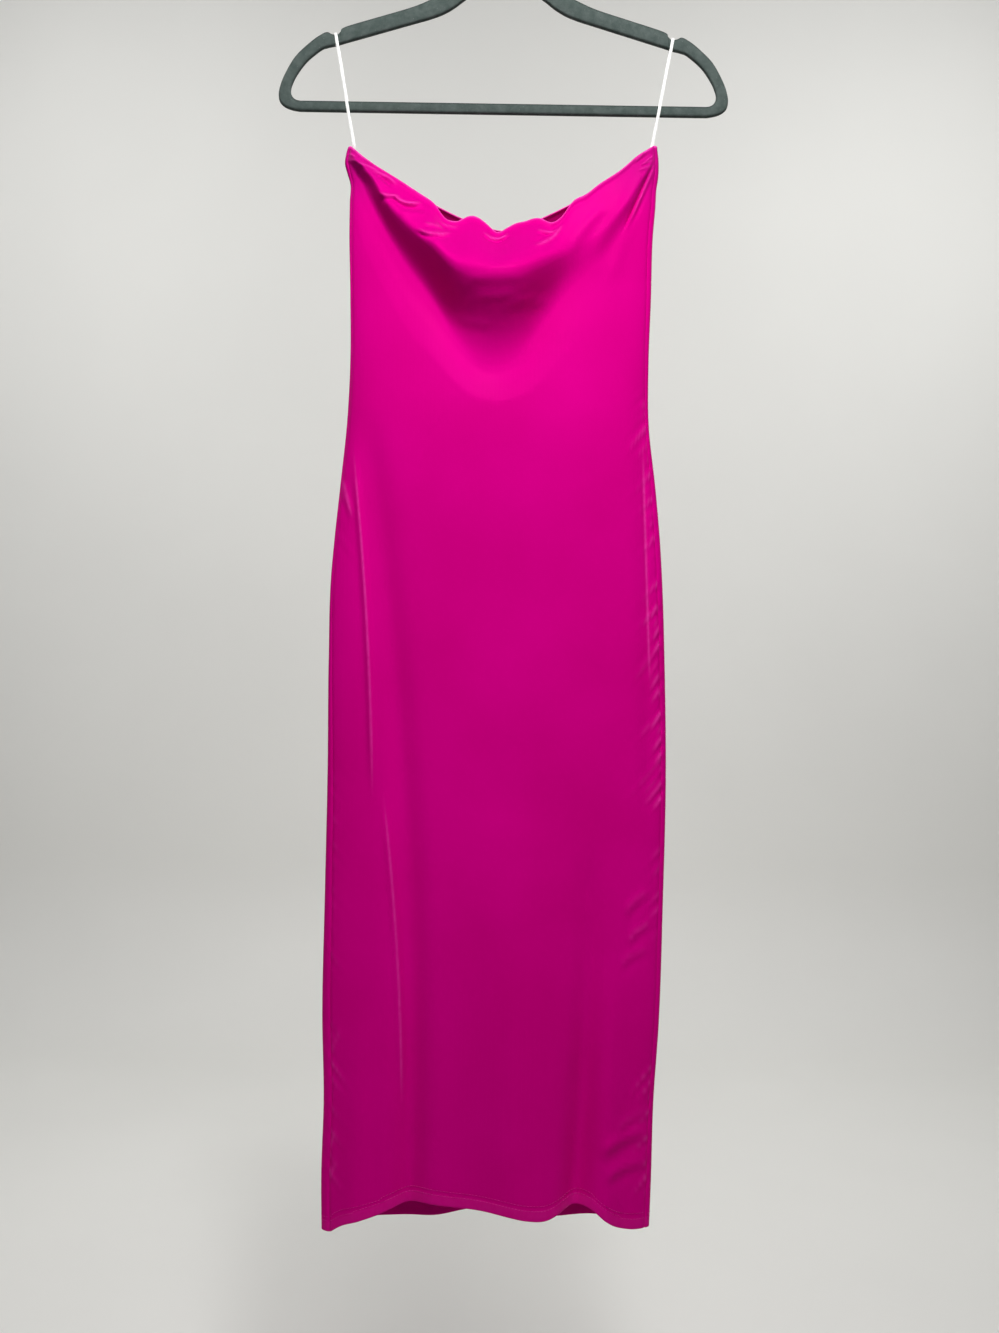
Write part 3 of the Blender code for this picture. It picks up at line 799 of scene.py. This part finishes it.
def panelGrid(surface, across):
    # outer points with their outward normals, then the turned-in edges added
    a, d = np.meshgrid(across, rowMarks)
    nudge = 0.002
    grid = surface(a, d)
    sideWay = surface(a + nudge, d) - surface(a - nudge, d)
    downWay = surface(a, np.clip(d + nudge, 0, 4)) - surface(a, np.clip(d - nudge, 0, 4))
    normal = np.cross(downWay, sideWay)
    normal /= np.linalg.norm(normal, axis=-1, keepdims=True)
    radius = dress["turnRadius"]
    top, foot = [], []
    downTop = grid[1] - grid[0]
    downTop /= np.linalg.norm(downTop, axis=-1, keepdims=True)
    downFoot = grid[-1] - grid[-2]
    downFoot /= np.linalg.norm(downFoot, axis=-1, keepdims=True)
    for degrees in edgeTurn:
        inward = radius * (1 - math.cos(math.radians(degrees)))
        past = radius * math.sin(math.radians(degrees))
        top.insert(0, grid[0] - normal[0] * inward - downTop * past)
        foot.append(grid[-1] - normal[-1] * inward + downFoot * past)
    inner = grid - normal * 2 * radius
    topInside = [inner[k] for k in topTuck]
    footInside = [inner[-1 - k] for k in footTuck]
    rows = topInside + top + list(grid) + foot + footInside
    return np.array(rows), grid, normal


def cornerShadeAt(x, z):
    # painted shade, strongest at the two top corners, dying out down the band
    away = np.hypot(dress["cornerX"] - np.abs(x), dress["cornerShadeFall"] * (z - dress["cornerZ"]))
    return dress["cornerShadeMost"] * softStep(1 - away / dress["cornerShadeReach"])


def setPointValues(obj, name, values):
    attribute = obj.data.attributes.new(name, "FLOAT", "POINT")
    attribute.data.foreach_set("value", np.clip(values, 0, 1).astype(np.float32).ravel())


def addPanel(name, surface, across, node, folds, creases):
    rows, grid, normal = panelGrid(surface, across)
    faces = gridFaces(rows.shape[0], rows.shape[1])
    obj = makeMesh(name, rows.reshape(-1, 3), faces, jersey)
    # painted highlight on the outer face's thin folds, creases and rim and on the gathers, and a paler turned
    # hem
    x, z = grid[..., 0], grid[..., 2]
    wearAndHighlight = np.zeros(rows.shape[:2])
    outer = wearAndHighlight[tucked:-tucked]
    outer[:] = highlightAt(x, z, folds, creases)
    rimRun = np.linalg.norm(grid - grid[0], axis=-1)
    hemRun = np.linalg.norm(grid - grid[-1], axis=-1)
    outer += dress["rimHighlight"] * bell(rimRun / 1.4)
    outer += dress["hemPale"] * softStep((dress["hemStitch"] - hemRun) / 2)
    wearAndHighlight[tucked - 3:tucked] = dress["rimHighlight"]
    if node == "front_panel":
        inFrom = halfWidth(z, x) - seamWrap(z, x) - np.abs(x)
        outer += dress["gatherHighlight"] * np.clip(gathersAt(z, inFrom, np.sign(x)) - 0.15, 0, 0.8)
    setPointValues(obj, "wearAndHighlight", wearAndHighlight)
    setPointValues(obj, "cornerShade", cornerShadeAt(rows[..., 0], rows[..., 2]))
    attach(obj, "root")
    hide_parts(node)
    return obj, grid, normal


even = np.linspace(-1, 1, dress["columns"] + 1)
acrossFront = (1 - dress["bunch"]) * even + dress["bunch"] * np.sin(even * math.pi / 2)
frontCloth, frontGrid, frontNormal = addPanel("frontCloth", frontPoint, acrossFront, "front_panel",
                                              frontFolds, frontCreases)
print("front panel draped")

wrapSteps = np.linspace(1, 0, dress["wrapColumns"] + 1)[:-1]
behind = np.linspace(0, 1, dress["backColumns"] + 1)
acrossBack = np.concatenate([-wrapSteps, behind, 1 + wrapSteps[::-1]])
backCloth, backGrid, backNormal = addPanel("backCloth", backPoint, acrossBack, "back_panel",
                                           backFolds, backCreases)
print("back panel draped")

# twin rows of stitches above the hem
hemStitches = {
    "rows": (9.0, 13.5),
    "first": 2.0,
    "last": 3.0,
    "pitch": 3.2,
    "length": 2.3,
    "radius": 0.3,
    # the stitches are drawn in the pale highlight colour at this share
    "wearAndHighlight": 0.5,
    "sides": 6,
}

# along a stitch: share of its length, share of its radius, lift off the cloth
stitchShape = (
    (0.0, 0.35, 0.0),
    (0.2, 0.9, 0.16),
    (0.5, 1.0, 0.22),
    (0.8, 0.9, 0.16),
    (1.0, 0.35, 0.0),
)


def stitchRow(grid, normal, above, found):
    # walks one row of the cloth at a set height over the hem edge
    heights = np.linalg.norm(np.diff(grid[::-1], axis=0), axis=-1).cumsum(axis=0)
    line, out = [], []
    for c in range(grid.shape[1]):
        k = int(np.searchsorted(heights[:, c], above))
        line.append(grid[-2 - k, c])
        out.append(normal[-2 - k, c])
    line, out = np.array(line), np.array(out)
    travelled = np.concatenate([[0], np.linalg.norm(np.diff(line, axis=0), axis=1).cumsum()])
    for start in np.arange(hemStitches["first"], travelled[-1] - hemStitches["last"], hemStitches["pitch"]):
        pair = []
        for reach in (start, start + hemStitches["length"]):
            point = np.array([np.interp(reach, travelled, line[:, axis]) for axis in range(3)])
            away = np.array([np.interp(reach, travelled, out[:, axis]) for axis in range(3)])
            pair.append((point, away / np.linalg.norm(away)))
        found.append(pair)


def addStitches(name, grid, normal):
    found = []
    for above in hemStitches["rows"]:
        stitchRow(grid, normal, above, found)
    points, faces = [], []
    radius, sides = hemStitches["radius"], hemStitches["sides"]
    for (a, out), (b, _) in found:
        way = (b - a) / np.linalg.norm(b - a)
        side = np.cross(way, out)
        first = len(points)
        for share, fat, lift in stitchShape:
            centre = a + (b - a) * share + out * lift
            for corner in range(sides):
                turn = 2 * math.pi * corner / sides
                points.append(centre + (side * math.cos(turn) + out * math.sin(turn)) * radius * fat)
        last = len(points) - sides
        for base in range(first, last, sides):
            for corner in range(sides):
                nextCorner = (corner + 1) % sides
                faces.append((base + corner, base + nextCorner,
                              base + sides + nextCorner, base + sides + corner))
        faces.append(tuple(first + k for k in range(sides - 1, -1, -1)))
        faces.append(tuple(last + k for k in range(sides)))
    obj = makeMesh(name, np.array(points), faces, jersey)
    setPointValues(obj, "wearAndHighlight", np.full(len(points), hemStitches["wearAndHighlight"]))
    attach(obj, "root")
    return obj


frontStitches = addStitches("frontHemStitches", frontGrid, frontNormal)
backStitches = addStitches("backHemStitches", backGrid, backNormal)
print("hem stitched")


# slim hanger with a bar, swept round its edge
hanger = {
    "thick": 6.0,
    "round": 2.4,
    "notchX": 167.0,
    "notchZ": -156.8,
    "barTop": -222.8,
    "barFoot": -233.2,
    "steps": 5,
    "corners": 4,
}

# outer and inner edge of one half, from the bar's middle round to the neck
hangerEdge = (
    (0.0, -233.2, 0.0, -222.8),
    (60.0, -233.2, 60.0, -222.8),
    (125.0, -233.2, 125.0, -222.8),
    (190.0, -233.2, 190.0, -222.8),
    (204.0, -232.8, 202.0, -222.7),
    (214.5, -230.0, 207.2, -220.6),
    (220.6, -225.2, 209.8, -217.0),
    (222.5, -218.6, 210.5, -213.0),
    (221.8, -210.6, 209.4, -207.4),
    (217.4, -198.1, 205.0, -197.6),
    (206.6, -179.1, 195.1, -183.9),
    (190.6, -163.6, 181.5, -172.4),
    (180.6, -156.6, 175.4, -169.8),
    (175.4, -154.6, 172.0, -168.9),
    (171.6, -156.2, 169.6, -168.4),
    (169.0, -156.8, 168.0, -168.0),
    (165.0, -156.8, 165.4, -167.3),
    (162.0, -153.8, 163.0, -166.6),
    (157.2, -149.1, 160.1, -165.6),
    (124.0, -138.7, 126.0, -155.4),
    (91.0, -128.4, 92.0, -145.2),
    (72.9, -120.6, 74.0, -139.8),
    (58.0, -113.2, 61.0, -134.8),
    (45.0, -106.2, 50.0, -128.4),
    (34.0, -99.6, 39.6, -120.4),
    (24.0, -93.0, 28.0, -112.8),
    (17.0, -87.6, 18.0, -108.6),
    (12.0, -83.0, 9.0, -106.6),
    (6.5, -82.0, 4.5, -106.1),
    (0.0, -82.0, 0.0, -106.0),
)


def hangerRings():
    half = np.array(hangerEdge)
    whole = np.concatenate([half, half[-2:0:-1] * np.array([-1, 1, -1, 1])])
    count = len(whole)
    rings = []
    for index in range(count):
        p0, p1, p2, p3 = (whole[(index + k) % count] for k in (-1, 0, 1, 2))
        for t in np.arange(hanger["steps"]) / hanger["steps"]:
            row = 0.5 * (2 * p1 + (p2 - p0) * t + (2 * p0 - 5 * p1 + 4 * p2 - p3) * t * t
                         + (3 * p1 - p0 - 3 * p2 + p3) * t ** 3)
            outside, inside = np.array([row[0], 0, row[1]]), np.array([row[2], 0, row[3]])
            width = np.linalg.norm(outside - inside)
            across = (outside - inside) / width
            middle = (outside + inside) / 2
            ring = []
            for cornerX, cornerY, first in ((1, 1, 0), (-1, 1, 90), (-1, -1, 180), (1, -1, 270)):
                for k in range(hanger["corners"]):
                    turn = math.radians(first + 90 * k / (hanger["corners"] - 1))
                    x = cornerX * (width / 2 - hanger["round"]) + hanger["round"] * math.cos(turn)
                    y = cornerY * (hanger["thick"] / 2 - hanger["round"]) + hanger["round"] * math.sin(turn)
                    ring.append(middle + across * x + np.array([0, y, 0]))
            rings.append(np.array(ring))
    return rings


flockedHanger = sweepMesh("flockedHanger", hangerRings(), flock, True)
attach(flockedHanger, "root")
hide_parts("hanger_body")
print("hanger made")

# bent wire hook, sizes in millimetres and angles in degrees round its bend
hook = {
    "wireRadius": 1.65,
    "inside": 22.5,
    "firstAngle": -58.0,
    "lastAngle": 206.0,
    "stemTop": -62.0,
    "stemMiddle": -78.0,
    "stemFoot": -94.0,
    "bendPull": 20.0,
    "bendSteps": 14,
    "roundSteps": 59,
    "tipAngles": (25, 50, 70, 84),
    "sides": 18,
}


def hookPath():
    radius = hook["inside"] + hook["wireRadius"]
    centre = np.array([0.0, -hook["inside"]])
    path = [np.array([0.0, hook[name]]) for name in ("stemFoot", "stemMiddle", "stemTop")]
    first = math.radians(hook["firstAngle"])
    start = centre + radius * np.array([math.cos(first), math.sin(first)])
    leave = np.array([0.0, hook["bendPull"]])
    arrive = np.array([-math.sin(first), math.cos(first)]) * hook["bendPull"]
    for t in np.linspace(0, 1, hook["bendSteps"] + 1)[1:]:
        point = (1 + 2 * t) * (1 - t) ** 2 * path[2] + t * (1 - t) ** 2 * leave
        path.append(point + t * t * (3 - 2 * t) * start + t * t * (t - 1) * arrive)
    for degrees in np.linspace(hook["firstAngle"], hook["lastAngle"], hook["roundSteps"] + 1)[1:]:
        angle = math.radians(degrees)
        path.append(centre + radius * np.array([math.cos(angle), math.sin(angle)]))
    return np.array(path)


def hookRings():
    path = hookPath()
    ways = np.gradient(path, axis=0)
    ways /= np.linalg.norm(ways, axis=1, keepdims=True)
    stations = [(point, way, 1.0) for point, way in zip(path, ways)]
    for degrees in hook["tipAngles"]:
        turn = math.radians(degrees)
        past = ways[-1] * hook["wireRadius"] * math.sin(turn)
        stations.append((path[-1] + past, ways[-1], math.cos(turn)))
    rings = []
    for point, way, fat in stations:
        side = np.array([-way[1], 0, way[0]])
        centre = np.array([point[0], 0, point[1]])
        ring = []
        for turn in 2 * math.pi * np.arange(hook["sides"]) / hook["sides"]:
            out = side * math.cos(turn) + np.array([0, math.sin(turn), 0])
            ring.append(centre + out * hook["wireRadius"] * fat)
        rings.append(np.array(ring))
    return rings


hookWire = sweepMesh("hookWire", hookRings(), wire, False)
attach(hookWire, "root")
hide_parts("hanger_hook")
print("hook made")


# ribbon loops from the hanger's notches down into the corners of the dress
loops = {
    "wide": 3.0,
    "thick": 0.6,
    "footX": 147.4,
    "footDeep": 8.0,                  # how far the ends run down inside the corners
    "footY": {-1: 2.7, 1: 2.2},       # left and right
    "lift": 0.4,
    "clear": 0.3,
    "corner": (0.86, 0.4),            # shares of the half width and half thickness
}


def ribbonRings(side):
    topZ = hanger["notchZ"] + loops["clear"] + loops["thick"] / 2 + loops["lift"]
    top = np.array([side * hanger["notchX"], 0.0, topZ])
    foot = np.array([side * loops["footX"], 0.0, dress["cornerZ"]])
    length = np.linalg.norm(foot - top)
    along = (foot - top) / length
    wide = np.cross(along, [0.0, 1.0, 0.0])
    clear = hanger["thick"] / 2 + loops["clear"] + loops["thick"] / 2
    bar = (topZ - hanger["barTop"]) / (topZ - dress["cornerZ"]) * length
    pastBar = (topZ - hanger["barFoot"]) / (topZ - dress["cornerZ"]) * length
    footY = loops["footY"][side]
    half = [
        (length + loops["footDeep"], footY),
        (length, footY),
        (length - 6, footY + 0.3),
        (pastBar + 3, clear),
        (bar - 3, clear),
        (30, clear),
        (8, clear),
        (3.2, clear),
        (1.4, clear - 0.2),
        (0.4, clear - 0.9),
        (0.0, clear - 2.2),
    ]
    run = [(reach, -y) for reach, y in half] + [(reach, y) for reach, y in reversed(half)]
    run = np.array(run)
    ways = np.gradient(run, axis=0)
    ways /= np.linalg.norm(ways, axis=1, keepdims=True)
    rings = []
    for (reach, y), way in zip(run, ways):
        centre = top + along * reach + np.array([0.0, y, 0.0])
        thick = along * -way[1] + np.array([0.0, way[0], 0.0])
        a, b = wide * loops["wide"] / 2, thick * loops["thick"] / 2
        inA, inB = a * loops["corner"][0], b * loops["corner"][1]
        ring = [centre - a - inB, centre - inA - b, centre + inA - b, centre + a - inB,
                centre + a + inB, centre + inA + b, centre - inA + b, centre - a + inB]
        rings.append(np.array(ring))
    return rings


for name, side, node in (("ribbonLeft", -1, "hanger_loop_left"), ("ribbonRight", 1, "hanger_loop_right")):
    loop = sweepMesh(name, ribbonRings(side), ribbon, False)
    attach(loop, "root")
    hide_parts(node)
print("ribbon loops hung")


# plain pale floor that curves up into a wall
studio = {
    "floorZ": -1950.0,
    "nearY": -3500.0,
    "wallY": 2900.0,
    "wallTop": 3000.0,
    "halfWide": 5000.0,
    "bend": 500.0,
    "paint": (0.87, 0.868, 0.835),
    "lowPaint": 0.97,      # the darker patches' share of the paint
    "patchScale": 1.5,
    "roughness": 0.8,
    "sky": (1.0, 1.0, 1.0),
    "skyStrength": 0.055,
}


def floorMaterial():
    material, tree, shader = newMaterial("palePaint")
    plain = objectCoords(tree, (1, 1, 1))
    low = tuple(studio["lowPaint"] * c for c in studio["paint"])
    patches = noiseNode(tree, plain, studio["patchScale"], 2.0)
    colour = rampNode(tree, patches, [(0.3, low), (0.7, studio["paint"])])
    tree.links.new(colour, shader.inputs["Base Color"])
    shader.inputs["Roughness"].default_value = studio["roughness"]
    return material


def addBackdrop():
    profile = [(studio["nearY"], studio["floorZ"])]
    for degrees in range(0, 91, 6):
        turn = math.radians(degrees)
        profile.append((studio["wallY"] - studio["bend"] + studio["bend"] * math.sin(turn),
                        studio["floorZ"] + studio["bend"] * (1 - math.cos(turn))))
    profile.append((studio["wallY"], studio["wallTop"]))
    points = [(x, y, z) for y, z in profile for x in (-studio["halfWide"], studio["halfWide"])]
    faces = [(2 * k, 2 * k + 1, 2 * k + 3, 2 * k + 2) for k in range(len(profile) - 1)]
    makeMesh("backdrop", points, faces, floorMaterial())


addBackdrop()

world = bpy.data.worlds.new("studioSky")
world.use_nodes = True
world.node_tree.nodes["Background"].inputs["Color"].default_value = (*studio["sky"], 1)
world.node_tree.nodes["Background"].inputs["Strength"].default_value = studio["skyStrength"]
bpy.context.scene.world = world

# where, aimed at, size, watts, spread in degrees
lightPlan = {
    "key": ((0.10, -0.85, 0.48), (0.0, 0.0, -0.55), 0.14, 11.9, 180),
    "front": ((0.15, -1.6, 0.90), (0.0, 0.0, -0.52), 0.9, 5.3, 74),
    "behind": ((-0.9, 1.3, 0.5), (0.0, 0.0, -0.8), 1.0, 5.0, 180),
    "washLeft": ((-1.6, 1.0, 1.1), (-0.6, 2.9, -0.4), 1.6, 29.0, 180),
    "washRight": ((1.6, 1.0, 1.1), (0.6, 2.9, -0.4), 1.6, 33.0, 180),
}


def aimed(obj, place, aim):
    obj.location = place
    obj.rotation_euler = (Vector(aim) - Vector(place)).to_track_quat("-Z", "Y").to_euler()


for name, (place, aim, size, watts, spread) in lightPlan.items():
    data = bpy.data.lights.new(name, "AREA")
    data.shape = "DISK"
    data.size = size
    data.energy = watts
    data.spread = math.radians(spread)
    lamp = bpy.data.objects.new(name, data)
    aimed(lamp, place, aim)
    bpy.context.scene.collection.objects.link(lamp)
print("lights set")

# eye level with the hips, turned a little as the photograph is
view = {"away": 1.2, "x": 0.005, "z": -0.780, "lens": 32.7, "roll": 0.9, "sensor": 36.0, "far": 50}
cameraData = bpy.data.cameras.new("camera")
cameraData.lens = view["lens"]
cameraData.sensor_width = view["sensor"]
cameraData.sensor_fit = "AUTO"
cameraData.clip_end = view["far"]
camera = bpy.data.objects.new("camera", cameraData)
bpy.context.scene.collection.objects.link(camera)
levelled = Euler((math.radians(90), 0, 0)).to_matrix().to_4x4()
turned = levelled @ Matrix.Rotation(math.radians(view["roll"]), 4, "Z")
camera.matrix_world = Matrix.Translation((view["x"], -view["away"], view["z"])) @ turned
bpy.context.scene.camera = camera
bpy.context.scene.view_settings.view_transform = "Standard"
print("camera set")
